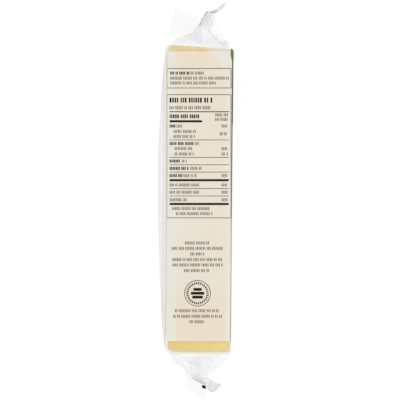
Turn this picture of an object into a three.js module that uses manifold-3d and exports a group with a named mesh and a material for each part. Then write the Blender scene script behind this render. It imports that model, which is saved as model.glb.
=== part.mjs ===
// A block of cheddar in a clear, printed flow-wrap film, lying on one of its long narrow sides.
//
// Millimetres, +Z up. The origin is the middle of the side the pack rests on. +Y points to the
// head end of the wrapper and +X to its front. The back, where the film's long seam and its fin
// are, is at -X.

import * as THREE from 'three';
import { mergeVertices } from 'three/addons/utils/BufferGeometryUtils.js';
import Module from 'manifold-3d';

const wasm = await Module();
wasm.setup();

// ---------------------------------------------------------------------------
// Driving dimensions

const FILM_WALL = 0.4;
const FILM_CLEARANCE = 0.3; // between the film and the cheese, at least

// The cheese is cut a little out of square: its head end slopes, and it narrows to the foot.
// The corners run anticlockwise as seen from above, and each has its own wear.
const CHEESE_WIDTH = 62; // along Z
const CHEESE_CORNERS = [
  { x: 18.1, y: 83.5, radius: 2.2 }, // head, front
  { x: -17.7, y: 86.0, radius: 2.8 }, // head, back
  { x: -18.0, y: -85.3, radius: 4.4 }, // foot, back
  { x: 16.8, y: -85.3, radius: 1.0 }, // foot, front
];
const LONG_EDGE_RADIUS = 1.8; // round the two narrow sides

// The outer face of the film's sleeve, which stands off the cheese most along the back.
const SLEEVE_CORNERS = [
  { x: 19.1, y: 84.2, radius: 2.9 }, // head, front
  { x: -18.9, y: 86.8, radius: 3.5 }, // head, back
  { x: -19.5, y: -86.0, radius: 6.0 }, // foot, back
  { x: 17.6, y: -86.0, radius: 1.7 }, // foot, front
];
const ARC_STEPS = 5;
const EDGE_STEPS = 4;
const MIN_ARC_RADIUS = 0.1;

const PACK_HEIGHT = CHEESE_WIDTH + 2 * (FILM_WALL + FILM_CLEARANCE);

// Where the film leaves the block it folds in to the end seal. Each row is one section across
// the pack: the film's back and front faces, and how far it reaches down and up.
const HEAD_GATHER = [
  { y: 79, back: -18.4, front: 18.5, low: 0.6, high: PACK_HEIGHT - 0.6 },
  { y: 85.2, back: -18.2, front: 18.2, low: 0.6, high: PACK_HEIGHT - 0.6 },
  { y: 87.6, back: -15.4, front: 15.9, low: 1.4, high: 62.2 },
  { y: 89.1, back: -13.2, front: 14.1, low: 2.2, high: 61.4 },
  { y: 91.0, back: -8.9, front: 13.3, low: 3.0, high: 60.9 },
  { y: 93.0, back: -4.3, front: 12.2, low: 4.0, high: 60.4 },
  { y: 96.1, back: -2.2, front: 10.7, low: 5.4, high: 59.8 },
  { y: 99.8, back: 0.2, front: 9.4, low: 7.0, high: 58.6 },
  { y: 103.0, back: 3.6, front: 8.8, low: 9.0, high: 57.2 },
];
const FOOT_GATHER = [
  { y: -79, back: -18.6, front: 17.0, low: 0.6, high: PACK_HEIGHT - 0.6 },
  { y: -85.4, back: -17.6, front: 17.0, low: 0.6, high: PACK_HEIGHT - 0.6 },
  { y: -86.9, back: -17.2, front: 16.3, low: 1.4, high: 62.0 },
  { y: -89.3, back: -15.2, front: 14.6, low: 2.8, high: 61.0 },
  { y: -92.0, back: -12.2, front: 11.9, low: 4.4, high: 59.6 },
  { y: -94.8, back: -9.3, front: 9.6, low: 6.0, high: 58.2 },
  { y: -97.6, back: -6.5, front: 5.8, low: 7.6, high: 57.0 },
  { y: -100.3, back: -4.4, front: 4.0, low: 9.4, high: 55.6 },
];
const GATHER_POINTS = 56;
const GATHER_PLEATS = 9;
const PLEAT_DEPTH = 0.16; // of a section's half size, at its deepest
const BOXY_POWER = 9; // of a section at the block's end, as a superellipse
const PINCHED_POWER = 2.6; // of a section at the seal

// The crimped end seals are flat strips across the gathers. Each runs from its far end, turned
// over to the back low down, to its near end high up, where it turns to face up. A station gives
// the strip's root, where it leaves the gather, and its free edge.
const SEAL_THICKNESS = 1.0;
const SEAL_STEPS = 12; // in each part of a strip
const SEAL_ROWS = 4;
const SEAL_PART_LAP = 0.02; // how far each part runs into the next, as a share of the strip
const HEAD_SEAL = [
  { root: [-17.0, 94.0, 10.0], edge: [-17.3, 96.4, 10.6] },
  { root: [-15.6, 90.6, 10.0], edge: [-15.9, 102.8, 12.0] },
  { root: [-13.6, 88.6, 10.0], edge: [-14.0, 109.2, 14.0] },
  { root: [-9.0, 88.6, 11.0], edge: [-9.6, 107.6, 17.0] },
  { root: [-4.4, 88.6, 12.0], edge: [0.2, 104.0, 20.0] },
  { root: [2.8, 93.4, 30.0], edge: [2.4, 103.8, 36.0] },
  { root: [-3.2, 93.6, 52.0], edge: [4.0, 104.6, 54.0] },
  { root: [-0.2, 93.4, 58.6], edge: [6.2, 104.5, 59.4] },
  { root: [4.9, 93.2, 59.4], edge: [9.2, 103.8, 60.0] },
];
const HEAD_TAIL = [ // a loose end of the head's seal
  { root: [6.4, 104.6, 59.6], edge: [8.8, 102.6, 59.8] },
  { root: [9.6, 106.4, 59.2], edge: [10.2, 104.8, 59.6] },
  { root: [12.4, 108.6, 59.0], edge: [12.0, 106.2, 60.2] },
  { root: [15.1, 109.6, 59.4], edge: [13.4, 107.2, 60.6] },
];
const FOOT_SEAL = [
  { root: [-6.7, -95.6, 10.0], edge: [-8.0, -108.3, 10.0] },
  { root: [-4.4, -96.6, 13.0], edge: [-4.5, -109.8, 15.0] },
  { root: [-1.2, -98.0, 22.0], edge: [1.9, -113.0, 24.0] },
  { root: [-1.0, -98.6, 33.0], edge: [1.6, -107.4, 35.0] },
  { root: [-4.5, -97.6, 46.0], edge: [-4.4, -100.4, 48.0] },
  { root: [-0.2, -99.2, 52.0], edge: [0.6, -104.4, 53.0] },
  { root: [4.1, -100.4, 54.0], edge: [4.5, -106.8, 54.6] },
  { root: [6.9, -102.2, 55.0], edge: [6.5, -107.6, 55.6] },
  { root: [9.4, -102.9, 56.0], edge: [9.2, -106.5, 56.2] },
  { root: [11.9, -103.2, 56.4], edge: [12.0, -103.6, 56.6] },
];

// The long seam's fin lies against the back, bowed off it most near the middle. Its reach is how
// far the free edge stands off the back, at even steps from the head end to the foot end.
const FIN_ROOT_Z = 25;
const FIN_WIDTH = 13;
const FIN_THICKNESS = 0.9;
const FIN_HEAD_Y = 85.6;
const FIN_FOOT_Y = -84;
const FIN_ROOT_HEAD_X = -18.6;
const FIN_ROOT_FOOT_X = -19.1;
const FIN_REACH = [0.2, 1.5, 2.5, 3.1, 3.8, 4.2, 4.2, 4.0, 3.7, 3.2, 2.8, 2.1, 1.4, 0.7];
const FIN_STEPS = 30;
const FIN_ROWS = 4;

// The two long edges of the film meet in a hairline beside the fin's root.
const SEAM_GAP = 0.3;
const SEAM_HALF_LENGTH = 74;
const SEAM_CUT_DEPTH = 3;

// ---------------------------------------------------------------------------
// Meshes and solids

// A closed mesh through rings of equal length, capped by a fan at each end.
function loft(rings) {
  const count = rings[0].length;
  const positions = [];
  const addTriangle = (a, b, c) => {
    positions.push(...a.toArray(), ...b.toArray(), ...c.toArray());
  };
  for (let row = 0; row + 1 < rings.length; row += 1) {
    for (let column = 0; column < count; column += 1) {
      const next = (column + 1) % count;
      const [a, b] = [rings[row][column], rings[row][next]];
      const [c, d] = [rings[row + 1][next], rings[row + 1][column]];
      addTriangle(a, b, c);
      addTriangle(a, c, d);
    }
  }
  const capCentre = (ring) => {
    const centre = new THREE.Vector3();
    ring.forEach((point) => centre.add(point));
    return centre.divideScalar(count);
  };
  const first = rings[0];
  const last = rings[rings.length - 1];
  const firstCentre = capCentre(first);
  const lastCentre = capCentre(last);
  for (let column = 0; column < count; column += 1) {
    const next = (column + 1) % count;
    addTriangle(firstCentre, first[next], first[column]);
    addTriangle(lastCentre, last[column], last[next]);
  }
  return closedGeometry(positions);
}

// A thin slab of even thickness on both sides of a grid of points.
function slab(grid, thickness) {
  const rowCount = grid.length;
  const columnCount = grid[0].length;
  const clampedPoint = (row, column) => {
    const safeRow = THREE.MathUtils.clamp(row, 0, rowCount - 1);
    const safeColumn = THREE.MathUtils.clamp(column, 0, columnCount - 1);
    return grid[safeRow][safeColumn];
  };
  const side = (sign) => grid.map((points, row) => points.map((point, column) => {
    const along = clampedPoint(row + 1, column).clone().sub(clampedPoint(row - 1, column));
    const across = clampedPoint(row, column + 1).clone().sub(clampedPoint(row, column - 1));
    const normal = along.cross(across).normalize();
    return point.clone().addScaledVector(normal, (sign * thickness) / 2);
  }));
  const front = side(1);
  const back = side(-1);
  const rings = front.map((points, row) => [...points, ...back[row].slice().reverse()]);
  return loft(rings);
}

function closedGeometry(positions) {
  const geometry = new THREE.BufferGeometry();
  geometry.setAttribute('position', new THREE.Float32BufferAttribute(positions, 3));
  return mergeVertices(geometry, 1e-5);
}

// Signed volume, to turn a mesh's faces outwards whichever way its rings run.
function signedVolume(geometry) {
  const position = geometry.getAttribute('position');
  const index = geometry.getIndex();
  const [a, b, c] = [new THREE.Vector3(), new THREE.Vector3(), new THREE.Vector3()];
  let volume = 0;
  for (let corner = 0; corner < index.count; corner += 3) {
    a.fromBufferAttribute(position, index.getX(corner));
    b.fromBufferAttribute(position, index.getX(corner + 1));
    c.fromBufferAttribute(position, index.getX(corner + 2));
    volume += a.dot(b.cross(c)) / 6;
  }
  return volume;
}

function solidFrom(geometry) {
  const merged = geometry.clone();
  merged.deleteAttribute('normal');
  merged.deleteAttribute('uv');
  const closed = mergeVertices(merged, 1e-5);
  const triangles = Uint32Array.from(closed.getIndex().array);
  if (signedVolume(closed) < 0) {
    for (let corner = 0; corner < triangles.length; corner += 3) {
      [triangles[corner + 1], triangles[corner + 2]] = [triangles[corner + 2], triangles[corner + 1]];
    }
  }
  return new wasm.Manifold(new wasm.Mesh({
    numProp: 3,
    vertProperties: Float32Array.from(closed.getAttribute('position').array),
    triVerts: triangles,
  }));
}

function geometryFrom(solid) {
  const mesh = solid.getMesh();
  const geometry = new THREE.BufferGeometry();
  geometry.setAttribute('position', new THREE.BufferAttribute(mesh.vertProperties, 3));
  geometry.setIndex(new THREE.BufferAttribute(mesh.triVerts, 1));
  geometry.computeVertexNormals();
  return geometry;
}

// ---------------------------------------------------------------------------
// The block and its sleeve

// The outline through the corners, from above, grown outwards by `grow`, at height z.
function blockOutline(corners, grow, z) {
  return corners.flatMap((corner, index) => {
    const radius = Math.max(corner.radius + grow, MIN_ARC_RADIUS);
    const centreX = corner.x + Math.sign(corner.x) * (grow - radius);
    const centreY = corner.y + Math.sign(corner.y) * (grow - radius);
    return Array.from({ length: ARC_STEPS + 1 }, (_, step) => {
      const angle = (index + step / ARC_STEPS) * (Math.PI / 2);
      const x = centreX + radius * Math.cos(angle);
      const y = centreY + radius * Math.sin(angle);
      return new THREE.Vector3(x, y, z);
    });
  });
}

// A block through the corners that keeps `inside` millimetres within the film's outer face above
// and below, and comes in by `shrink` at the sides.
function blockBody(corners, inside, shrink) {
  const low = inside;
  const high = PACK_HEIGHT - inside;
  const radius = LONG_EDGE_RADIUS + FILM_WALL + FILM_CLEARANCE - inside;
  const quarter = Array.from({ length: EDGE_STEPS + 1 }, (_, step) => {
    const angle = (step / EDGE_STEPS) * (Math.PI / 2);
    return { inset: radius * (1 - Math.sin(angle)), rise: radius * (1 - Math.cos(angle)) };
  });
  const outline = ({ inset }, z) => blockOutline(corners, -shrink - inset, z);
  const lower = quarter.map((corner) => outline(corner, low + corner.rise));
  const upper = quarter.map((corner) => outline(corner, high - corner.rise));
  return loft([...lower, ...upper.reverse()]);
}

const cheese = () => solidFrom(blockBody(CHEESE_CORNERS, FILM_WALL + FILM_CLEARANCE, 0));
const sleeve = (inside) => solidFrom(blockBody(SLEEVE_CORNERS, inside, inside));

// ---------------------------------------------------------------------------
// The wrapper's ends and fin

const signedPower = (value, power) => Math.sign(value) * Math.abs(value) ** power;

// How far the sleeve's end slopes for each millimetre across the pack.
function endSlope(front, back) {
  return (front.y - back.y) / (front.x - back.x);
}

// A gather's solid: boxy sections at the block, pinched and pleated ones at the seal. Only the
// first two follow the slope of the block's end.
function gather(rows, slope) {
  const rings = rows.map((row, index) => {
    const pinch = index / (rows.length - 1);
    const centreX = (row.front + row.back) / 2;
    const centreZ = (row.high + row.low) / 2;
    const halfX = (row.front - row.back) / 2;
    const halfZ = (row.high - row.low) / 2;
    const exponent = 2 / THREE.MathUtils.lerp(BOXY_POWER, PINCHED_POWER, pinch);
    const pleat = PLEAT_DEPTH * Math.sin(Math.PI * pinch);
    const rowSlope = index < 2 ? slope : 0;
    return Array.from({ length: GATHER_POINTS }, (_, step) => {
      const angle = (step / GATHER_POINTS) * 2 * Math.PI;
      const scale = 1 - pleat * (0.5 - 0.5 * Math.cos(GATHER_PLEATS * angle));
      const x = centreX + scale * halfX * signedPower(Math.cos(angle), exponent);
      const z = centreZ + scale * halfZ * signedPower(Math.sin(angle), exponent);
      const y = row.y + rowSlope * x;
      return new THREE.Vector3(x, y, z);
    });
  });
  return loft(rings);
}

// A strip in as many parts as it is cut into, because it turns back over itself.
function sealStrip(stations, partCount) {
  const curveThrough = (points) => new THREE.CatmullRomCurve3(
    points.map((point) => new THREE.Vector3(...point)), false, 'centripetal',
  );
  const rootCurve = curveThrough(stations.map(({ root }) => root));
  const edgeCurve = curveThrough(stations.map(({ edge }) => edge));
  const part = (from, to) => {
    const grid = Array.from({ length: SEAL_STEPS + 1 }, (_, step) => {
      const along = THREE.MathUtils.lerp(from, to, step / SEAL_STEPS);
      const root = rootCurve.getPoint(along);
      const edge = edgeCurve.getPoint(along);
      return Array.from(
        { length: SEAL_ROWS + 1 },
        (__, row) => root.clone().lerp(edge, row / SEAL_ROWS),
      );
    });
    return solidFrom(slab(grid, SEAL_THICKNESS));
  };
  return Array.from({ length: partCount }, (_, index) => {
    const to = Math.min((index + 1) / partCount + SEAL_PART_LAP, 1);
    return part(index / partCount, to);
  }).reduce((joined, next) => joined.add(next));
}

function fin() {
  const reachCurve = new THREE.CatmullRomCurve3(
    FIN_REACH.map((reach) => new THREE.Vector3(reach, 0, 0)), false, 'catmullrom', 0.5,
  );
  const grid = Array.from({ length: FIN_STEPS + 1 }, (_, step) => {
    const fromHead = 1 - step / FIN_STEPS;
    const y = THREE.MathUtils.lerp(FIN_HEAD_Y, FIN_FOOT_Y, fromHead);
    const rootX = THREE.MathUtils.lerp(FIN_ROOT_HEAD_X, FIN_ROOT_FOOT_X, fromHead);
    const reach = reachCurve.getPoint(fromHead).x;
    return Array.from({ length: FIN_ROWS + 1 }, (__, row) => {
      const across = row / FIN_ROWS;
      const curl = Math.sin(across * (Math.PI / 2));
      const x = rootX - (reach + FIN_THICKNESS / 2) * curl;
      return new THREE.Vector3(x, y, FIN_ROOT_Z + FIN_WIDTH * across);
    });
  });
  return slab(grid, FIN_THICKNESS);
}

function filmWrapper() {
  const [headFront, headBack, footBack, footFront] = SLEEVE_CORNERS;
  const outside = sleeve(0)
    .add(solidFrom(gather(HEAD_GATHER, endSlope(headFront, headBack))))
    .add(solidFrom(gather(FOOT_GATHER, endSlope(footFront, footBack))))
    .add(sealStrip(HEAD_SEAL, 4))
    .add(sealStrip(HEAD_TAIL, 1))
    .add(sealStrip(FOOT_SEAL, 4))
    .add(solidFrom(fin()));
  const seam = new THREE.BoxGeometry(SEAM_CUT_DEPTH, 2 * SEAM_HALF_LENGTH, SEAM_GAP);
  seam.translate(FIN_ROOT_FOOT_X, 0, FIN_ROOT_Z - FIN_THICKNESS - SEAM_GAP);
  return outside
    .subtract(sleeve(FILM_WALL))
    .subtract(solidFrom(seam));
}

// ---------------------------------------------------------------------------
// The pack

const cheeseMaterial = new THREE.MeshStandardMaterial({
  color: '#ecd08a',
  roughness: 0.5,
  metalness: 0,
});
const filmMaterial = new THREE.MeshStandardMaterial({
  color: '#eeeae0',
  roughness: 0.25,
  metalness: 0,
  transparent: true,
  opacity: 0.6,
});

function namedMesh(name, geometry, material) {
  const mesh = new THREE.Mesh(geometry, material);
  mesh.name = name;
  return mesh;
}

const pack = new THREE.Group();
pack.add(namedMesh('cheese_block', geometryFrom(cheese()), cheeseMaterial));
pack.add(namedMesh('film_wrapper', geometryFrom(filmWrapper()), filmMaterial));

export default pack;
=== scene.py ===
"""A block of cheddar in clear, printed flow-wrap film, laid out as a Blender add-on.

The pack lies on one long narrow side. Lengths below that end in _MM are millimetres in the
frame's own axes: +Y is the head end, +X the front face, -X the back with the film's fin, +Z up.
"""

import math
import random

import bmesh
import bpy
import numpy as np
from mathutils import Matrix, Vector, noise


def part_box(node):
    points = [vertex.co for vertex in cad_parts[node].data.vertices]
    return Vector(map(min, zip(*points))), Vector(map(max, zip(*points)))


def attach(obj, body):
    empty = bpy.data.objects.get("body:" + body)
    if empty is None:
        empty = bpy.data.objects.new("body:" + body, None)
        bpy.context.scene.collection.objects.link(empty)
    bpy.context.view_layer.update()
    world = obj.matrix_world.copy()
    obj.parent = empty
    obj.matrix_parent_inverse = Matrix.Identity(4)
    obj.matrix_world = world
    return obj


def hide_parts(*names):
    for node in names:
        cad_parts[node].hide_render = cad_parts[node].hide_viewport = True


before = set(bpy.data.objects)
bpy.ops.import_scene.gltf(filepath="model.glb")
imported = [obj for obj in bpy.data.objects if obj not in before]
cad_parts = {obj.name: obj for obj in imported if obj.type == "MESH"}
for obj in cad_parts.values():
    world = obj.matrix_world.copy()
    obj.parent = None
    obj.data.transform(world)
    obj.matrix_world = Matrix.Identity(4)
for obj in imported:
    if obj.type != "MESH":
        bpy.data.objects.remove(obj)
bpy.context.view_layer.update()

bl_info = {
    "name": "Wrapped Cheddar Block",
    "version": (1, 0, 0),
    "blender": (4, 5, 0),
    "location": "3D View > Sidebar > Cheddar",
    "description": "A block of cheddar in gathered, printed flow-wrap film",
    "category": "Add Mesh",
}

MM = 0.001

# The cheese's outline from above: corner x, corner y and the corner's rounding
HEAD_FRONT, HEAD_BACK = (18.1, 83.5, 2.2), (-17.7, 86.0, 2.8)
FOOT_BACK, FOOT_FRONT = (-18.0, -85.3, 4.4), (16.8, -85.3, 1.0)
# The same for the film's sleeve at its back and front. It stands off most along the back
SLEEVE_HEAD = (-18.8, 86.6, 3.2), (18.88, 84.1, 2.0)
SLEEVE_FOOT = (-19.75, -85.9, 4.8), (17.5, -85.9, 1.4)
FILM_LOW, FILM_HIGH = (corner.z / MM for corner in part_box("film_wrapper"))
FOOT_END, HEAD_END = (corner.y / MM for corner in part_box("film_wrapper"))

# The film's gathers, one section a row: y, back face, front face, lowest and highest z
HEAD_GATHER_MM = (
    (85.3, -15.7, 16.4, 1.6, 61.8),
    (87.6, -15.2, 15.9, 1.9, 61.5),
    (89.1, -13.2, 14.1, 2.4, 61.2),
    (91.0, -8.9, 13.3, 3.0, 60.9),
    (93.0, -4.3, 12.2, 4.0, 60.4),
    (96.1, -2.2, 10.7, 5.4, 59.8),
    (99.8, 0.2, 9.4, 7.0, 58.6),
    (103.0, 3.6, 8.8, 9.0, 57.2),
)
FOOT_GATHER_MM = (
    (-85.9, -14.2, 15.9, 1.6, 61.8),
    (-87.1, -16.8, 16.2, 1.9, 61.5),
    (-89.3, -15.2, 14.6, 2.8, 61.0),
    (-92.0, -12.2, 11.9, 4.4, 59.6),
    (-94.8, -9.3, 9.6, 6.0, 58.2),
    (-97.6, -6.5, 5.8, 7.6, 57.0),
    (-100.3, -4.4, 4.0, 9.4, 55.6),
)

# Folds in the gathers' near side: their points (x, y), width, depth and the strength of the haze and
# painted shade along them
HEAD_FOLDS_MM = (
    (((5.0, 93.6), (8.6, 89.6), (13.6, 85.0)), 1.0, 1.2, 0.34),
    (((9.4, 102.6), (7.0, 96.0), (5.0, 93.6)), 0.9, 0.9, 0.3),
    (((0.9, 94.0), (1.3, 89.5), (0.8, 86.0)), 0.8, 0.8, 0.2),
    (((-3.9, 92.6), (-9.6, 89.6), (-14.4, 87.2)), 1.2, 0.5, 0.08),
    (((-2.6, 91.0), (-8.2, 88.0), (-13.0, 86.2)), 0.7, 0.6, 0.12),
    (((4.2, 92.0), (6.4, 88.6), (7.0, 85.6)), 0.8, 0.5, 0.08),
)
# Where the head's gather bunches, with painted haze and shade: centre (x, y), half sizes, turn and
# strength
HEAD_BUNCHES_MM = (
    ((-1.4, 90.8), (2.3, 6.0), 6.0, 0.2),
    ((2.4, 97.4), (3.2, 6.0), -28.0, 0.13),
    ((3.0, 89.0), (9.0, 4.6), 0.0, 0.22),
    ((-7.5, 87.6), (6.5, 2.4), 24.0, 0.1),
    ((8.0, 87.4), (8.0, 3.6), 0.0, 0.1),
    ((15.4, 85.8), (3.4, 1.8), -38.0, 0.34),
    ((9.0, 86.0), (7.0, 1.8), -4.0, 0.14),
)
FOOT_FOLDS_MM = (
    (((-14.6, -85.6), (-11.4, -86.6), (-7.8, -88.8), (-4.6, -91.2)), 1.1, 1.0, 0.3),
    (((-4.6, -91.2), (-4.9, -95.0), (-4.3, -99.6)), 0.9, 0.7, 0.12),
    (((-16.4, -86.2), (-11.8, -90.2), (-7.2, -94.6)), 0.8, 0.7, 0.14),
    (((3.8, -91.0), (5.2, -94.0), (3.8, -97.8)), 0.9, 0.7, 0.16),
    (((1.2, -88.0), (5.4, -88.6), (8.4, -90.6)), 0.8, 0.6, 0.12),
    (((-1.6, -91.6), (-1.2, -95.4), (0.4, -99.0)), 1.0, 0.5, 0.08),
)
# Where the foot's gather bunches, with painted haze and shade: centre (x, y), half sizes, turn and
# strength
FOOT_BUNCHES_MM = (
    ((-0.5, -94.8), (4.6, 6.4), 0.0, 0.26),
    ((-2.6, -90.4), (4.4, 2.6), -30.0, 0.2),
    ((1.0, -88.4), (11.0, 2.6), 0.0, 0.1),
)

# The crimped end seals, from the far end to the near one: the strip's root and its free edge
HEAD_SEAL_MM = (
    ((-17.0, 94.0, 10.0), (-17.3, 96.4, 10.6)),
    ((-15.6, 90.6, 10.0), (-15.9, 102.8, 12.0)),
    ((-13.6, 88.6, 10.0), (-14.0, 109.2, 14.0)),
    ((-9.0, 88.6, 11.0), (-9.6, 107.6, 17.0)),
    ((-4.4, 88.6, 12.0), (0.2, 104.0, 20.0)),
    ((2.8, 93.4, 30.0), (2.4, 103.8, 36.0)),
    ((-3.2, 93.6, 52.0), (4.0, 104.6, 54.0)),
    ((-0.2, 93.4, 58.6), (6.2, 104.5, 59.4)),
    ((4.9, 93.2, 59.4), (9.2, 103.8, 60.0)),
)
HEAD_TAIL_MM = (
    ((9.2, 103.5, 59.8), (6.4, 104.6, 59.6)),
    ((10.4, 104.3, 59.6), (9.2, 105.6, 59.2)),
    ((12.0, 105.8, 60.2), (12.1, 108.2, 59.0)),
    ((13.2, 107.0, 60.6), (15.0, 109.6, 59.4)),
)
FOOT_SEAL_MM = (
    ((-6.7, -95.6, 10.0), (-8.0, -108.3, 10.0)),
    ((-4.4, -96.6, 13.0), (-4.5, -109.8, 15.0)),
    ((-1.2, -98.0, 22.0), (1.9, -113.0, 24.0)),
    ((-1.0, -98.6, 33.0), (3.4, -106.9, 35.0)),
    ((-4.5, -97.6, 46.0), (-4.3, -101.0, 48.0)),
    ((-1.8, -98.6, 50.5), (-0.9, -102.0, 51.5)),
    ((0.8, -99.2, 52.5), (2.4, -103.4, 53.2)),
    ((4.1, -99.4, 54.0), (4.6, -106.2, 54.6)),
    ((6.9, -101.2, 55.0), (6.7, -107.6, 55.6)),
    ((9.4, -102.4, 56.0), (9.2, -106.5, 56.2)),
    ((11.9, -103.2, 56.4), (12.0, -103.6, 56.6)),
)

# Painted shade along folds in the seals and, where the strength is below 0, painted highlights: their
# points (x, y), width and strength
SEAL_SHADE_AND_HIGHLIGHT_MM = (
    (((0.0, 99.2), (1.3, 100.9)), 0.35, 0.75),
    (((2.6, 102.6), (4.2, 104.5)), 0.4, 0.8),
    (((5.4, 97.6), (6.2, 100.0), (7.5, 102.4)), 0.45, -0.36),
    (((7.0, 103.9), (9.3, 104.9)), 0.5, 0.28),
    (((-4.1, -101.0), (-0.9, -101.8), (2.9, -103.4)), 0.5, 0.35),
)

# The long seam's fin on the back: how far it stands off, at even steps from head to foot
FIN_ROOT_Z_MM, FIN_WIDTH_MM = 25.0, 13.0
FIN_HEAD_Y_MM, FIN_FOOT_Y_MM = 85.6, -83.0
FIN_REACH_MM = (0.2, 1.5, 2.5, 3.1, 3.8, 4.2, 4.2, 4.0, 3.7, 3.2, 2.8, 2.1, 1.4, 0.1)
FIN_CREASE_X_MM = -20.6  # a crease runs down the fin about here

SLEEVE_EDGE_MM, SLEEVE_END_EDGE_MM = 2.4, 1.8  # the rounding of its long edges and its ends
HEAD_BULGE_MM = (0.2, 4.2, 3.0)  # the front edge's height, place before the head and width
FOLD_DEPTH_MM = 20.0  # the gathers' folds are whole this far above and below the middle
SIDE_GIRTH_MM = 18.0  # the side shown reaches this far to both sides of its middle
HALF_GIRTH_MM = 100.0  # half the way round the sleeve
SEAL_Z_MM = (2.0, 61.6)  # the seals stay within these heights
# the seals get their painted shade and highlights only above this height
SEAL_SHADE_Z_MM = 49.0  # and are marked above this
HEAD_BARE_MM, FOOT_BARE_MM = 82.4, -78.9  # past these the film bears no print
SLOPE_RUN_MM = 2.6  # over this length a gather loses the slope of the block's end
SKIN_DEPTH_MM = 0.09  # the print needs this much room over the skin
SKIN_COLUMNS, SLEEVE_ROWS, GATHER_ROWS = 300, 96, 44


# --- Small tools ---


def deselect_all():
    bpy.ops.object.select_all(action="DESELECT")


def select_only(piece):
    deselect_all()
    piece.select_set(True)
    bpy.context.view_layer.objects.active = piece


def apply_modifier(piece, name, kind, **settings):
    """Adds one modifier with these settings and applies it."""
    select_only(piece)
    modifier = piece.modifiers.new(name, kind)
    for key, value in settings.items():
        setattr(modifier, key, value)
    bpy.ops.object.modifier_apply(modifier=modifier.name)


def add_primitive(kind, name, **settings):
    """One of Blender's own simple meshes, under that name."""
    deselect_all()
    getattr(bpy.ops.mesh, f"primitive_{kind}_add")(**settings)
    piece = bpy.context.object
    piece.name = piece.data.name = name
    return piece


def add_sheet(name, points_mm):
    """A sheet of four-sided faces through points_mm, an array of rows x columns x 3."""
    rows, columns = points_mm.shape[:2]
    faces = {"x_subdivisions": columns - 1, "y_subdivisions": rows - 1}
    piece = add_primitive("grid", name, size=1, **faces)
    flat = np.ascontiguousarray(points_mm.reshape(-1, 3) * MM, dtype=np.float32)
    piece.data.vertices.foreach_set("co", flat.ravel())
    piece.data.update()
    return piece


def give_thickness(piece, thickness):
    """Makes a smooth ply of a sheet."""
    apply_modifier(piece, "ply", "SOLIDIFY", thickness=thickness, offset=0.0)
    bpy.ops.object.shade_smooth()


def set_float_attribute(piece, name, values):
    attribute = piece.data.attributes.new(name, "FLOAT", "POINT")
    attribute.data.foreach_set("value", np.asarray(values, dtype=np.float32).ravel())


def hand_over(piece, slot, material, *replaced):
    """Gives a finished piece its material and its place in the frame."""
    piece.data.materials.clear()
    piece.data.materials.append(material)
    if replaced:
        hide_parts(*replaced)
    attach(piece, "root")


def noise_at(*place):
    return noise.noise(Vector(place))


def clamp(value):
    return min(max(value, 0.0), 1.0)


def catmull_rom(points, t):
    """A point at t from 0 to 1 on a smooth curve through the points."""
    place = clamp(t) * (len(points) - 1)
    index = min(int(place), len(points) - 2)
    local = place - index
    p1, p2 = Vector(points[index]), Vector(points[index + 1])
    p0 = Vector(points[index - 1]) if index else p1 * 2 - p2
    p3 = Vector(points[index + 2]) if index + 2 < len(points) else p2 * 2 - p1
    return 0.5 * (
        2 * p1
        + (p2 - p0) * local
        + (2 * p0 - 5 * p1 + 4 * p2 - p3) * local**2
        + (3 * p1 - p0 - 3 * p2 + p3) * local**3
    )


def grid_normals(points, wrap):
    """Unit normals of a rows x columns x 3 array. With wrap, the last column is the first."""
    if wrap:
        points = points[:, :-1]
        across = np.roll(points, -1, axis=1) - np.roll(points, 1, axis=1)
    else:
        across = np.gradient(points, axis=1)
    normals = np.cross(across, np.gradient(points, axis=0))
    normals /= np.maximum(np.linalg.norm(normals, axis=2, keepdims=True), 1e-9)
    return np.concatenate([normals, normals[:, :1]], axis=1) if wrap else normals


# --- Material tools ---


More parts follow.
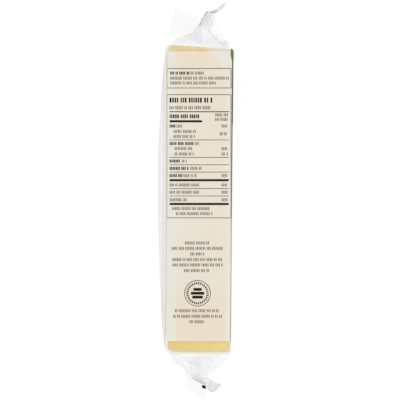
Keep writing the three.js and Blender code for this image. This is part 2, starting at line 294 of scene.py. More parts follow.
class Tree:
    """A few words for building a material's nodes."""

    def __init__(self, name):
        self.material = bpy.data.materials.new(name)
        self.material.use_nodes = True
        self.nodes = self.material.node_tree.nodes
        self.nodes.clear()
        self.links = self.material.node_tree.links
        self.output = self.nodes.new("ShaderNodeOutputMaterial")

    def add(self, kind, inputs=None, **settings):
        node = self.nodes.new(kind)
        for key, value in settings.items():
            setattr(node, key, value)
        for key, value in (inputs or {}).items():
            if isinstance(value, bpy.types.NodeSocket):
                self.links.new(value, node.inputs[key])
            else:
                node.inputs[key].default_value = value
        return node

    def math(self, operation, a, b=0.0, c=0.0, clamp=False):
        inputs = {0: a, 1: b, 2: c}
        return self.add("ShaderNodeMath", inputs, operation=operation, use_clamp=clamp).outputs[0]

    def times(self, product, *factors):
        for factor in factors:
            product = self.math("MULTIPLY", product, factor)
        return product

    def mix(self, factor, *colours):
        """The first colour where factor is 0, and the second where it is 1."""
        a, b = (c if isinstance(c, bpy.types.NodeSocket) else (*c, 1.0) for c in colours)
        return self.add("ShaderNodeMix", {0: factor, 6: a, 7: b}, data_type="RGBA").outputs[2]

    def noise(self, vector, scale, detail=3.0, roughness=0.55):
        values = {"Vector": vector, "Scale": scale, "Detail": detail, "Roughness": roughness}
        return self.add("ShaderNodeTexNoise", values).outputs["Fac"]

    def remap(self, value, low, high, to_low=0.0, to_high=1.0, smooth=False):
        kind = "SMOOTHSTEP" if smooth else "LINEAR"
        values = {0: value, 1: low, 2: high, 3: to_low, 4: to_high}
        return self.add("ShaderNodeMapRange", values, interpolation_type=kind).outputs[0]

    def between(self, value, low, high, blur):
        """1 where value lies from low to high, with an edge blur wide."""
        rising = self.remap(value, low - blur / 2, low + blur / 2)
        falling = self.remap(value, high - blur / 2, high + blur / 2, 1.0, 0.0)
        return self.times(rising, falling)

    def object_coordinates(self):
        return self.add("ShaderNodeTexCoord").outputs["Object"]

    def painted(self, name):
        """The value painted on the vertices under that name."""
        return self.add("ShaderNodeAttribute", attribute_name=name).outputs["Fac"]

    def bump(self, height, strength, distance):
        values = {"Strength": strength, "Distance": distance, "Height": height}
        return self.add("ShaderNodeBump", values).outputs[0]

    def finish(self, shader):
        self.links.new(shader.outputs[0], self.output.inputs["Surface"])
        return self.material


# --- Settings ---


def colour_property(name, description, default):
    return bpy.props.FloatVectorProperty(
        name=name, description=description, default=default, min=0, max=1, size=3, subtype="COLOR"
    )


def length_property(name, description, default):
    return bpy.props.FloatProperty(
        name=name, description=description, default=default, unit="LENGTH", subtype="DISTANCE"
    )


class CheeseSettings(bpy.types.PropertyGroup):
    body: colour_property("Cheddar", "Colour of the cheese", (0.80, 0.555, 0.15))
    pale: colour_property("Paler curd", "Colour of the paler curd", (0.84, 0.62, 0.21))
    softness: length_property("Softness", "How far the cheese's edges are worn round", 1.5 * MM)
    unevenness: length_property("Unevenness", "Depth of the cheese's shallow hollows", 0.25 * MM)


class FilmSettings(bpy.types.PropertyGroup):
    clear: colour_property("Clear film", "Tint of the clear film", (0.56, 0.60, 0.70))
    warm: colour_property("Print on cheese", "Print where it lies on cheese", (0.85, 0.745, 0.60))
    cool: colour_property("Print off cheese", "Print where it stands off", (0.82, 0.81, 0.72))
    green: colour_property("Green print", "Colour of the green panel", (0.085, 0.155, 0.012))
    # Painted shade: the green turns darker where the panel goes round the rounded edge to the front
    shaded_edge_green: colour_property("Edge green", "Green along the panel's fold", (0.02, 0.04, 0.002))
    wrinkles: length_property("Wrinkles", "Depth of the film's shallow wrinkles", 0.28 * MM)


class PrintSettings(bpy.types.PropertyGroup):
    ink: colour_property("Ink", "Colour of rules and heavy bars", (0.008, 0.007, 0.006))
    fine_ink: colour_property("Fine ink", "Colour of the rows of small print", (0.205, 0.19, 0.16))
    lift: length_property("Lift", "How far the ink stands off the film", 0.05 * MM)


class StageSettings(bpy.types.PropertyGroup):
    floor: colour_property("Floor", "Colour of the floor", (0.9, 0.9, 0.9))
    camera_height: length_property("Camera height", "Height of the camera over the side shown", 1.6)
    view_width: length_property("View width", "Width of the view at the side shown", 0.222)


# --- The cheese ---


def cheddar_material(settings):
    tree = Tree("cheddar")
    place = tree.object_coordinates()
    curd = tree.noise(place, 60.0, 5.0)
    cloud = tree.noise(place, 14.0, 2.0)
    grain = tree.noise(place, 900.0, 2.0)
    knit = tree.add("ShaderNodeTexVoronoi", {"Vector": place, "Scale": 95.0}, feature="DISTANCE_TO_EDGE")
    seam = tree.remap(knit.outputs["Distance"], 0.0, 0.07, 1.0, 0.0, smooth=True)
    share = tree.remap(tree.math("ADD", curd, cloud), 0.8, 1.25)
    colour = tree.mix(share, settings.body, settings.pale)
    colour = tree.mix(tree.times(seam, 0.16), colour, (0.62, 0.40, 0.11))
    height = tree.math("SUBTRACT", tree.times(grain, 0.35), tree.times(seam, 0.5))
    inputs = {
        "Base Color": colour,
        "Roughness": tree.remap(curd, 0.3, 0.7, 0.38, 0.56),
        "Normal": tree.bump(tree.math("ADD", height, curd), 0.25, 0.0004),
        "Subsurface Weight": 0.12,
        "Subsurface Radius": (1.0, 0.6, 0.25),
        "Subsurface Scale": 0.003,
    }
    return tree.finish(tree.add("ShaderNodeBsdfPrincipled", inputs))


class CHEDDAR_OT_block(bpy.types.Operator):
    """Adds the block of cheddar, a little out of square, with soft edges and shallow hollows"""

    bl_idname = "cheddar.block"
    bl_label = "Cheddar Block"

    def execute(self, context):
        settings = context.scene.cheddar_cheese
        low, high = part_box("cheese_block")
        block = add_primitive("cube", "cheddar_block", size=1, location=(low + high) / 2)
        block.scale = high - low
        bpy.ops.object.transform_apply(location=True, rotation=True, scale=True)
        corners = {(1, 1): HEAD_FRONT, (-1, 1): HEAD_BACK, (-1, -1): FOOT_BACK, (1, -1): FOOT_FRONT}
        for vertex in block.data.vertices:
            side = (1 if vertex.co.x > 0 else -1, 1 if vertex.co.y > 0 else -1)
            vertex.co.x, vertex.co.y = (value * MM for value in corners[side][:2])
        bpy.ops.object.mode_set(mode="EDIT")
        for x, y, radius in corners.values():
            self.round_upright_edge(block, x * MM, y * MM, radius * MM)
        bpy.ops.object.mode_set(mode="OBJECT")
        apply_modifier(block, "even", "REMESH", mode="VOXEL", voxel_size=0.9 * MM)
        spread = settings.softness / MM
        apply_modifier(block, "soften", "SMOOTH", factor=0.5, iterations=int(3 * spread))
        for name, size, share in (("hollows", 0.03, 1.0), ("curd", 0.006, 0.35)):
            texture = bpy.data.textures.new("cheddar_" + name, "CLOUDS")
            texture.noise_scale = size
            depth = settings.unevenness * share
            look = {"texture": texture, "texture_coords": "LOCAL", "mid_level": 0.85}
            apply_modifier(block, name, "DISPLACE", strength=depth, **look)
        bpy.ops.object.shade_smooth()
        hand_over(block, "cheese", cheddar_material(settings), "cheese_block")
        return {"FINISHED"}

    @staticmethod
    def round_upright_edge(block, x, y, radius):
        mesh = bmesh.from_edit_mesh(block.data)
        for part in (*mesh.verts, *mesh.edges, *mesh.faces):
            part.select = False
        for edge in mesh.edges:
            a, b = (vertex.co for vertex in edge.verts)
            at_corner = max(abs(a.x - x), abs(b.x - x), abs(a.y - y), abs(b.y - y)) < 0.1 * MM
            if at_corner and abs(a.z - b.z) > 10 * MM:
                edge.select_set(True)
        mesh.select_flush_mode()
        bmesh.update_edit_mesh(block.data)
        bpy.ops.mesh.bevel(offset=radius, segments=5, affect="EDGES")


# --- The film ---


def section(back, front, low, high, radius):
    """Points round one section of film and their places on the girth, both from the bottom's
    middle by way of the back. The girth counts from the top's middle, to the front."""
    middle = (back + front) / 2
    half, height = (front - back) / 2, high - low
    radius = min(radius, half * 0.98, height / 2 * 0.98)
    arc = radius * math.pi / 2
    flat, upright = half - radius, height - 2 * radius
    runs = (flat, arc, upright, arc, 2 * flat, arc, upright, arc, flat)
    girth = sum(runs)
    points, places = [], []
    for column in range(SKIN_COLUMNS + 1):
        left = girth * (column % SKIN_COLUMNS) / SKIN_COLUMNS
        places.append(girth * (column / SKIN_COLUMNS - 0.5))
        run = 0
        while run < len(runs) - 1 and left > runs[run]:
            left -= runs[run]
            run += 1
        angle = left / radius if radius > 0 else 0.0
        sine, cosine = math.sin(angle) * radius, math.cos(angle) * radius
        x, z = (
            (middle - left, low),
            (back + radius - sine, low + radius - cosine),
            (back, low + radius + left),
            (back + radius - cosine, high - radius + sine),
            (back + radius + left, high),
            (front - radius + sine, high - radius + cosine),
            (front, high - radius - left),
            (front - radius + cosine, low + radius - sine),
            (front - radius - left, low),
        )[run]
        points.append((x, z))
    return points, places


def sleeve_section(share):
    """The sleeve's back, front, low and high at share from 0 at the foot to 1 at the head."""
    ends = zip(SLEEVE_FOOT, SLEEVE_HEAD)
    back, front = (foot[0] + (head[0] - foot[0]) * share for foot, head in ends)
    return back, front, FILM_LOW + 0.04, FILM_HIGH - SKIN_DEPTH_MM


def end_y(end, x):
    """Where that end of the sleeve lies at that x: the head end slopes."""
    back, front = end
    slope = (front[1] - back[1]) / (front[0] - back[0])
    return back[1] + slope * (x - back[0])


def corner_inset(distance, radius):
    """How far a rounded corner has come in at that distance before its end."""
    if distance >= radius:
        return 0.0
    return radius - math.sqrt(max(radius**2 - (radius - distance) ** 2, 0.0))


def sleeve_rows():
    """Rows of the close sleeve from the foot to the head, as points and girth places."""
    length = SLEEVE_HEAD[0][1] - SLEEVE_FOOT[0][1]
    edge = [0.0, 0.25, 0.7, 1.3, 2.1, 3.0, 4.2, 5.4]
    inner = np.linspace(6.8, length - 6.8, SLEEVE_ROWS)
    stations = [*edge, *inner, *(length - d for d in reversed(edge))]
    rows, girths = [], []
    for station in stations:
        share = station / length
        back, front, low, high = sleeve_section(share)
        near_head = length - station
        nearest = min(station, near_head)
        end = SLEEVE_FOOT if station < near_head else SLEEVE_HEAD
        back += corner_inset(nearest, end[0][2])
        front -= corner_inset(nearest, end[1][2])
        lift = corner_inset(nearest, SLEEVE_END_EDGE_MM)
        ring, girth = section(back, front, low + lift, high - lift, SLEEVE_EDGE_MM)
        bulge, place, width = HEAD_BULGE_MM
        bulge *= math.exp(-(((near_head - place) / width) ** 2))
        ring = [(x + bulge * (x > front - SLEEVE_EDGE_MM) * (z > 57), z) for x, z in ring]
        rows.append([])
        for x, z in ring:
            foot, head = end_y(SLEEVE_FOOT, x), end_y(SLEEVE_HEAD, x)
            rows[-1].append((x, foot + (head - foot) * share, z))
        girths.append(girth)
    return rows, girths


def gather_rows(stations, end):
    """Rows of a gather from that end of the sleeve to the seal."""
    rows, girths = [], []
    for step in range(1, GATHER_ROWS + 1):
        pinch = step / GATHER_ROWS
        place = pinch * (len(stations) - 1)
        index = min(int(place), len(stations) - 2)
        local = place - index
        y, back, front, low, high = (
            a + (b - a) * local for a, b in zip(stations[index], stations[index + 1])
        )
        ring, girth = section(back, front, low, high, SLEEVE_EDGE_MM + 1.5 * pinch)
        slope_left = max(0.0, 1 - abs(y - stations[0][0]) / SLOPE_RUN_MM)
        rows.append([(x, y + (end_y(end, x) - stations[0][0]) * slope_left, z) for x, z in ring])
        girths.append(girth)
    return rows, girths


class Creases:
    """Straight fold lines over a patch of film, each a long narrow tent."""

    def __init__(self, seed, count, width, height, lean):
        draw = random.Random(seed)
        self.lines = []
        for _ in range(count):
            turn = draw.gauss(0.0, lean)
            place, wide = draw.random(), draw.uniform(*width)
            tall = draw.uniform(*height) * draw.choice((-1, 1))
            self.lines.append((math.cos(turn), math.sin(turn), place, wide, tall))

    def height(self, across, along):
        """Across runs round the film from 0 to 1 and along runs to the seal from 0 to 1."""
        total = 0.0
        for cosine, sine, offset, width, height in self.lines:
            distance = (across - offset) * cosine + (along - 0.5) * sine * 0.5
            distance = abs((distance + 0.5) % 1.0 - 0.5)
            total += height * max(0.0, 1 - distance / width)
        return total


def distance_to_line(x, y, points):
    """Distance of every (x, y) from a line of straight pieces."""
    nearest = np.full(x.shape, 1e9)
    for (ax, ay), (bx, by) in zip(points, points[1:]):
        length = (bx - ax) ** 2 + (by - ay) ** 2
        share = np.clip(((x - ax) * (bx - ax) + (y - ay) * (by - ay)) / length, 0, 1)
        nearest = np.minimum(nearest, np.hypot(x - ax - share * (bx - ax), y - ay - share * (by - ay)))
    return nearest


def fold_gather(points, folds, bunches):
    """Presses the folds into both sides of a gather, and paints haze and shade along them and where the
    film bunches.
    """
    x, y, z = (points[:, :, axis] for axis in range(3))
    middle = (FILM_LOW + FILM_HIGH) / 2
    near = np.clip((z - middle) / FOLD_DEPTH_MM, 0, 1)
    far = np.clip((middle - z) / FOLD_DEPTH_MM, 0, 1)
    haze = np.zeros(x.shape)
    for line, width, depth, strength in folds:
        crest = np.clip(1 - distance_to_line(x, y, line) / width, 0, 1)
        mirrored = [(1.5 - px * 0.8, py) for px, py in line]
        behind = np.clip(1 - distance_to_line(x, y, mirrored) / width, 0, 1)
        points[:, :, 2] += depth * (far * behind - near * crest)
        haze += strength * (near * crest**1.5 + 0.35 * far * behind**1.5)
    for (cx, cy), (rx, ry), turn, strength in bunches:
        cosine, sine = math.cos(math.radians(turn)), math.sin(math.radians(turn))
        along = ((x - cx) * cosine + (y - cy) * sine) / rx
        across = ((y - cy) * cosine - (x - cx) * sine) / ry
        haze += strength * near * np.exp(-((along**2 + across**2) ** 1.5))
    return haze


WALL_CLEARNESS = 0.19  # the gathers' upright walls are drawn thin


def crumple_gather(rows, folds, bunches, seed):
    """Folds the rows of a gather: both plies sway together, and each has creases of its own."""
    points = np.array(rows)
    normals = grid_normals(points, wrap=True)
    fine = Creases(seed, 40, (0.006, 0.022), (0.15, 0.5), 0.5)
    broad = Creases(seed + 1, 12, (0.04, 0.09), (0.3, 0.9), 0.35)
    count = points.shape[0]
    columns = points.shape[1] - 1
    for row in range(count):
        along = (row + 1) / count
        rise = math.sin(math.pi * min(along * 1.05, 1.0)) ** 0.7
        span = float(np.ptp(points[row, :, 0]))
        room = min(1.0, 0.25 + span / 14)
        for column in range(columns + 1):
            across = (column % columns) / columns
            depth = fine.height(across, along) + broad.height(across, along)
            sway = noise_at(seed, points[row, column, 2] * 0.12, along * 2.2)
            points[row, column] += normals[row, column] * depth * rise * room * 0.5
            points[row, column, 0] += sway * 0.7 * rise
    haze = fold_gather(points, folds, bunches)
    # The haze holds painted haze and fold shade, drawn thinner on the upright walls
    return points, haze - WALL_CLEARNESS * normals[:, :, 0] ** 2


def finish_film(tree, colour, alpha, roughness, normal):
    inputs = {
        "Base Color": colour, "Roughness": roughness, "Alpha": alpha, "IOR": 1.5, "Normal": normal
    }
    return tree.finish(tree.add("ShaderNodeBsdfPrincipled", inputs))


def film_alpha(tree, base, edge):
    """Alpha of clear film: base where it faces the eye, and more where it turns away."""
    facing = tree.add("ShaderNodeLayerWeight", {"Blend": 0.5}).outputs["Facing"]
    return tree.math("MULTIPLY_ADD", tree.math("POWER", facing, 1.6), edge, base)


# Places on the film's map, in 100 mm: girths count from the top's middle to the front, and
# lengths along the pack to the head end
FRONT_GIRTH = (0.182, 0.823)
RIM_GIRTHS = ((0.182, 0.207), (0.797, 0.823))  # green lines along the front face's two folds
RIM_FADES = ((0.36, 0.5, 0.65), (-0.14, -0.1, 0.85))  # from and to a length, from a strength
FOLD_GIRTH = (0.15, 0.2)  # the rounded edge between the side shown and the front face
SEAM_GIRTH = (-0.535, -0.475)  # left bare on the back
PRINTED_LENGTH = (-0.789, 0.824)
PANEL_LENGTH = (0.42, 1.2)
LAP_LENGTH = (0.5, 0.845)  # here the green laps on to the side shown
WINDOW_GIRTH, WINDOW_LENGTH = (0.29, 0.71), (-0.66, -0.12)
CHEESE_LENGTH = (-0.855, 0.86)
# The panel's pale frame and bars: girth and length of each
PANEL_LINES = (
    ((0.25, 0.75), (0.465, 0.475)),
    ((0.25, 0.75), (0.765, 0.775)),
    ((0.25, 0.26), (0.465, 0.775)),
    ((0.74, 0.75), (0.465, 0.775)),
    ((0.36, 0.64), (0.67, 0.71)),
    ((0.40, 0.60), (0.60, 0.62)),
    ((0.40, 0.60), (0.55, 0.57)),
)


def green_print(tree, girth, along):
    """The front face, the green print on it and the part of it that laps on to the top."""
    front = tree.between(girth, *FRONT_GIRTH, 0.002)
    rim = tree.math("ADD", *(tree.between(girth, *edge, 0.002) for edge in RIM_GIRTHS))
    fades = (tree.remap(along, *fade, 1.0) for fade in RIM_FADES)
    rim = tree.times(rim, *fades)
    panel = tree.between(along, *PANEL_LENGTH, 0.003)
    green = tree.math("MULTIPLY", front, tree.math("MAXIMUM", panel, rim), clamp=True)
    lines = 0.0
    for across, length in PANEL_LINES:
        line = tree.times(tree.between(girth, *across, 0.001), tree.between(along, *length, 0.001))
        lines = tree.math("MAXIMUM", lines, line)
    green = tree.math("SUBTRACT", green, lines, clamp=True)
    lap = tree.math("GREATER_THAN", girth, tree.remap(along, 0.76, 0.8, 0.182, 0.17))
    fold = tree.between(girth, *FOLD_GIRTH, 0.001)
    lap = tree.times(lap, fold, tree.between(along, *LAP_LENGTH, 0.004))
    return front, tree.math("MAXIMUM", green, lap), lap


def edge_painted_shade(tree, girth, along):
    """Painted shade: darker along the back's rounded edge, where the film turns away from the light, and
    a thin darker line across the head where the print ends.
    """
    back_edge_shade = tree.remap(girth, -0.168, -0.194, 0.0, 0.34)
    back_edge_shade = tree.times(back_edge_shade, tree.math("GREATER_THAN", girth, -0.215))
    fade = tree.remap(girth, 0.02, 0.1, 1.0, 0.3)
    head_edge_shade = tree.times(tree.between(along, 0.819, 0.826, 0.003), 0.3, fade)
    return tree.math("MAXIMUM", back_edge_shade, head_edge_shade)


def skin_material(settings):
    tree = Tree("printed_film")
    web = tree.add("ShaderNodeSeparateXYZ", {0: tree.add("ShaderNodeUVMap", uv_map="web").outputs[0]})
    girth, along = web.outputs["X"], web.outputs["Y"]
    place = tree.object_coordinates()
    haze = tree.painted("haze")
    patches = tree.remap(tree.noise(place, 55.0, 3.0), 0.22, 0.5, 0.7, 1.0)
    touch = tree.times(tree.painted("touch"), patches)
    slack = tree.math("SUBTRACT", 1.0, touch)
    front, green, lap = green_print(tree, girth, along)
    window = tree.between(girth, *WINDOW_GIRTH, 0.004)
    window = tree.times(window, tree.between(along, *WINDOW_LENGTH, 0.004))
    bare = tree.math("MAXIMUM", tree.between(girth, *SEAM_GIRTH, 0.004), window)
    printed = tree.between(along, *PRINTED_LENGTH, 0.004)
    printed = tree.times(printed, tree.math("SUBTRACT", 1.0, bare))
    printed = tree.math("MAXIMUM", printed, lap)
    cream = tree.mix(touch, settings.cool, settings.warm)
    # Painted shade in a dark tan along the back's rounded edge and across the head
    cream = tree.mix(edge_painted_shade(tree, girth, along), cream, (0.38, 0.34, 0.24))
    # Painted shade: darker green along the rounded edge between the side shown and the front face
    fold_shade_line = tree.times(front, tree.between(girth, *FOLD_GIRTH, 0.004))
    panel = tree.mix(fold_shade_line, settings.green, settings.shaded_edge_green)
    lap_tone = tree.times(lap, tree.between(along, 0.775, 0.83, 0.02))
    panel = tree.mix(lap_tone, panel, settings.green)
    clear = tree.mix(tree.between(along, *CHEESE_LENGTH, 0.01), settings.clear, (0.70, 0.77, 0.56))
    # Painted shade: where the haze attribute is high, the clear film turns dark grey and less clear,
    # along the folds and where the film bunches
    clear = tree.mix(haze, clear, (0.40, 0.41, 0.435))
    clear = tree.mix(slack, clear, (0.86, 0.83, 0.72))
    colour = tree.mix(printed, clear, tree.mix(green, cream, panel))
    thin = tree.math("MULTIPLY_ADD", slack, 0.6, film_alpha(tree, 0.068, 0.12))
    thin = tree.math("MULTIPLY_ADD", haze, 0.7, thin, clamp=True)
    cover = tree.math("MULTIPLY_ADD", green, 0.1, 0.86)
    alpha = tree.math("MULTIPLY_ADD", printed, tree.math("SUBTRACT", cover, thin), thin)
    fine = tree.noise(place, 420.0, 2.0)
    roughness = tree.remap(fine, 0.3, 0.7, 0.14, 0.24)
    return finish_film(tree, colour, alpha, roughness, tree.bump(fine, 0.12, 0.0003))


class CHEDDAR_OT_film(bpy.types.Operator):
    """Adds the film's skin: the close sleeve and the gathers at both ends, in one sheet"""

    bl_idname = "cheddar.film"
    bl_label = "Film"

    def execute(self, context):
        settings = context.scene.cheddar_film
        sleeve, sleeve_girths = sleeve_rows()
        head, head_girths = gather_rows(HEAD_GATHER_MM, SLEEVE_HEAD)
        foot, foot_girths = gather_rows(FOOT_GATHER_MM, SLEEVE_FOOT)
        head_points, head_haze_and_shade = crumple_gather(head, HEAD_FOLDS_MM, HEAD_BUNCHES_MM, 11)
        foot_points, foot_haze_and_shade = crumple_gather(foot, FOOT_FOLDS_MM, FOOT_BUNCHES_MM, 27)
        sleeve_points = self.wrinkle_sleeve(np.array(sleeve), settings.wrinkles / MM)
        points = np.concatenate([foot_points[::-1], sleeve_points, head_points])
        girths = np.array(foot_girths[::-1] + sleeve_girths + head_girths)
        points[:, :, 2] = np.clip(points[:, :, 2], FILM_LOW + 0.03, FILM_HIGH - SKIN_DEPTH_MM)
        skin = add_sheet("film_skin", points)
        self.lay_web(skin, girths, points[:, :, 1])
        touch = self.touch(sleeve_points, sleeve_girths)
        touch = np.concatenate([np.ones(foot_haze_and_shade.shape), touch, np.ones(head_haze_and_shade.shape)])
        set_float_attribute(skin, "touch", touch)
        haze = np.concatenate([foot_haze_and_shade[::-1], np.zeros(sleeve_points.shape[:2]), head_haze_and_shade])
        set_float_attribute(skin, "haze", np.minimum(haze, 1))
        select_only(skin)
        bpy.ops.object.mode_set(mode="EDIT")
        bpy.ops.mesh.select_all(action="SELECT")
        bpy.ops.mesh.remove_doubles(threshold=0.002 * MM)
        bpy.ops.mesh.select_all(action="DESELECT")
        bpy.ops.mesh.select_non_manifold(extend=False)
        bpy.ops.mesh.fill_holes(sides=0)
        bpy.ops.mesh.select_all(action="SELECT")
        bpy.ops.mesh.normals_make_consistent(inside=False)
        bpy.ops.object.mode_set(mode="OBJECT")
        bpy.ops.object.shade_smooth()
        hand_over(skin, "film", skin_material(settings), "film_wrapper")
        return {"FINISHED"}

    @staticmethod
    def wrinkle_sleeve(points, depth):
        """Pushes shallow wrinkles into the sleeve: soft all over, sharper near the ends."""
        normals = grid_normals(points, wrap=True)
        rows, columns = points.shape[:2]
        for cell in np.ndindex(rows, columns - 1):
            x, y, z = points[cell]
            soft = noise_at(x * 0.09, y * 0.035, z * 0.09 + 7)
            end = max(0.0, 1 - (87 - abs(y)) / 30)
            fold = noise_at(x * 0.35, y * 0.05, z * 0.35)
            push = depth * (0.5 * (soft - 0.5) + end * 0.9 * (-abs(fold)))
            points[cell] += normals[cell] * min(push, 0.0)
        points[:, -1] = points[:, 0]
        return points

    @staticmethod
    def lay_web(skin, girths, along):
        """The map 'web': girth from the top's middle and length along the pack, in 100 mm."""
        places = np.stack([girths, along], axis=2).reshape(-1, 2) * 0.01
        corners = np.zeros(len(skin.data.loops), dtype=np.int32)
        skin.data.loops.foreach_get("vertex_index", corners)
        layer = skin.data.uv_layers[0]
        layer.name = "web"
        layer.data.foreach_set("uv", places[corners].astype(np.float32).ravel())

    @staticmethod
    def touch(points, girths):
        """Where the film lies on the cheese: a strip along each narrow side, patches elsewhere.
        It lies closest towards both ends."""
        values = np.ones(points.shape[:2])
        for row, column in np.ndindex(values.shape):
            x, y, z = points[row, column]
            girth = abs(girths[row][column])
            if min(girth, HALF_GIRTH_MM - girth) < SIDE_GIRTH_MM:
                ripple = noise_at(1.3, y * 0.11, z * 0.02)
                left = -13.4 + 0.5 * ripple
                right = 14.2 + 0.7 * ripple - 7.0 * max(0.0, (y - 70) / 10) ** 1.6
                inner = min(x - left, right - x)
                close = min(1.0, 0.5 + 0.5 * abs((y - 5) / 72) ** 2.5)
                value = close * clamp(inner / 1.1 + 0.5)
                if y > HEAD_BARE_MM:
                    value = 0.62 - 0.5 * clamp((x - 2) / 4)
                elif y < FOOT_BARE_MM:
                    # Towards the foot's end the film stands off the rounded end, and its paler veil
                    # there is also a painted pale reflection on that edge
                    value = (0.8 + 0.2 * value) * (0.25 + 0.75 * clamp((y + 84.9) / 3.0))
            else:
                value = 0.75 + 0.3 * noise_at(x * 0.05, y * 0.03, z * 0.06)
            gap = noise_at(x * 0.13, y * 0.13, 5.5)
            slack = math.exp(-(((y + 17) / 6) ** 2)) + 0.6 * math.exp(-(((y + 44) / 7) ** 2))
            values[row, column] = value * (1 - min(1.0, slack * (0.55 + 1.1 * gap)))
        return values


def seal_material():
    tree = Tree("crimped_film")
    haze = tree.noise(tree.object_coordinates(), 260.0, 3.0)
    fold = tree.painted("fold")
    # Painted shade and highlights: where the fold attribute is high the film turns dark grey and less
    # clear, and where it is 0 it stays lighter and clearer
    colour = tree.mix(tree.remap(fold, 0.03, 0.15), (0.50, 0.64, 0.68), (0.60, 0.61, 0.635))
    colour = tree.mix(fold, colour, (0.30, 0.30, 0.305))
    alpha = tree.math("MULTIPLY_ADD", fold, 0.55, film_alpha(tree, 0.085, 0.05))
    alpha = tree.math("MULTIPLY", alpha, tree.painted("rise"), clamp=True)
    return finish_film(tree, colour, alpha, 0.16, tree.bump(haze, 0.15, 0.0002))


class CHEDDAR_OT_seals(bpy.types.Operator):
    """Adds the crimped seals, one flat crumpled strip at each end, and the head's loose tail"""

    bl_idname = "cheddar.seals"
    bl_label = "End Seals"

    def execute(self, context):
        material = seal_material()
        # Name, stations, columns and rows, seed, crush_from, tone, bare_from and steep
        strips = (
            ("head_seal", HEAD_SEAL_MM, (170, 30), 5, 0.62, 0.18, 1.0, (0.56, 0.76)),
            ("foot_seal", FOOT_SEAL_MM, (200, 30), 8, 0.44, 0.25, 0.64, (2.0, 2.0)),
            ("head_tail", HEAD_TAIL_MM, (40, 10), 3, -0.2, 0.16, -1.0, (2.0, 2.0)),
        )
        for strip in strips:
            hand_over(self.strip(*strip), "film", material)
        return {"FINISHED"}

    def strip(self, name, stations, size, seed, crush_from, tone, bare_from, steep):
        """One strip. Across it, it is crushed and painted darker by tone past crush_from, has its root
        in view past bare_from, and is drawn thin where it stands steep."""
        columns, rows = size
        roots = [root for root, _ in stations]
        edges = [edge for _, edge in stations]
        flat = np.zeros((rows + 1, columns + 1, 3))
        for column in range(columns + 1):
            root = catmull_rom(roots, column / columns)
            edge = catmull_rom(edges, column / columns)
            for row in range(rows + 1):
                flat[row, column] = root.lerp(edge, row / rows)
        normals = grid_normals(flat, wrap=False)
        creases = Creases(seed, 20, (0.01, 0.035), (0.25, 0.9), 0.25)
        fold_shade_and_highlight = np.zeros(flat.shape[:2])
        places = np.linspace(0, 1, columns + 1)[None, :]
        risen = np.clip(np.linspace(0, 2.2, rows + 1), 0, 1)[:, None]
        risen = np.maximum(risen, np.clip((places - bare_from) / 0.1, 0, 1))
        risen = np.where((places > steep[0]) & (places < steep[1]), risen * 0.15, risen)
        for row, column in np.ndindex(fold_shade_and_highlight.shape):
            along, across = row / rows, column / columns
            rib = 0.06 * math.cos(2 * math.pi * row / 5)
            crush = clamp((across - crush_from) / 0.15)
            pleats = across * 11 + 0.5 * along + 0.6 * math.sin(across * 40)
            pleat = abs((pleats % 1.0) * 2 - 1) - 0.5
            depth = creases.height(across, along) * (0.35 + 0.4 * crush) + 0.3 * pleat * crush
            flat[row, column] += normals[row, column] * (depth + rib)
            # Painted shade along the creases and pleats, along the free edge and over the crushed crimp
            shade = 0.2 * abs(depth) * (0.25 + crush) + 0.22 * max(0.0, pleat) * crush
            edge_line = max(0.0, 1 - (1 - along) * rows / 1.6)
            fold_shade_and_highlight[row, column] = shade + edge_line * 0.5 * crush + tone * crush
        # Painted shade along the marked folds, and painted highlights where the strength is below 0
        for line, width, strength in SEAL_SHADE_AND_HIGHLIGHT_MM:
            mark = np.clip(1.6 - distance_to_line(flat[:, :, 0], flat[:, :, 1], line) / width, 0, 1)
            mark = mark * (flat[:, :, 2] > SEAL_SHADE_Z_MM)
            fold_shade_and_highlight = np.maximum(fold_shade_and_highlight + strength * mark, 0)
            risen = np.maximum(risen, mark * (strength > 0))
        flat[:, :, 1] = np.clip(flat[:, :, 1], FOOT_END + 0.1, HEAD_END - 0.1)
        flat[:, :, 2] = np.clip(flat[:, :, 2], *SEAL_Z_MM)
        piece = add_sheet(name, flat)
        set_float_attribute(piece, "fold", fold_shade_and_highlight)
        set_float_attribute(piece, "rise", risen)
        give_thickness(piece, 0.08 * MM)
        return piece


def fin_material():
    tree = Tree("fin_film")
    place = tree.object_coordinates()
    fold = tree.painted("fold")
    colour = tree.mix(tree.noise(place, 40.0, 3.0), (0.58, 0.64, 0.90), (0.52, 0.58, 0.84))
    # Painted shade: where the fold attribute is high the fin turns darker and less clear
    colour = tree.mix(fold, colour, (0.38, 0.41, 0.50))
    alpha = tree.math("MULTIPLY_ADD", fold, 0.4, film_alpha(tree, 0.074, 0.12))
    inputs = {"Vector": place, "Scale": 260.0, "Distortion": 0.6}
    ribs = tree.add("ShaderNodeTexWave", inputs, bands_direction="Y").outputs["Fac"]
    return finish_film(tree, colour, alpha, 0.2, tree.bump(ribs, 0.1, 0.0002))


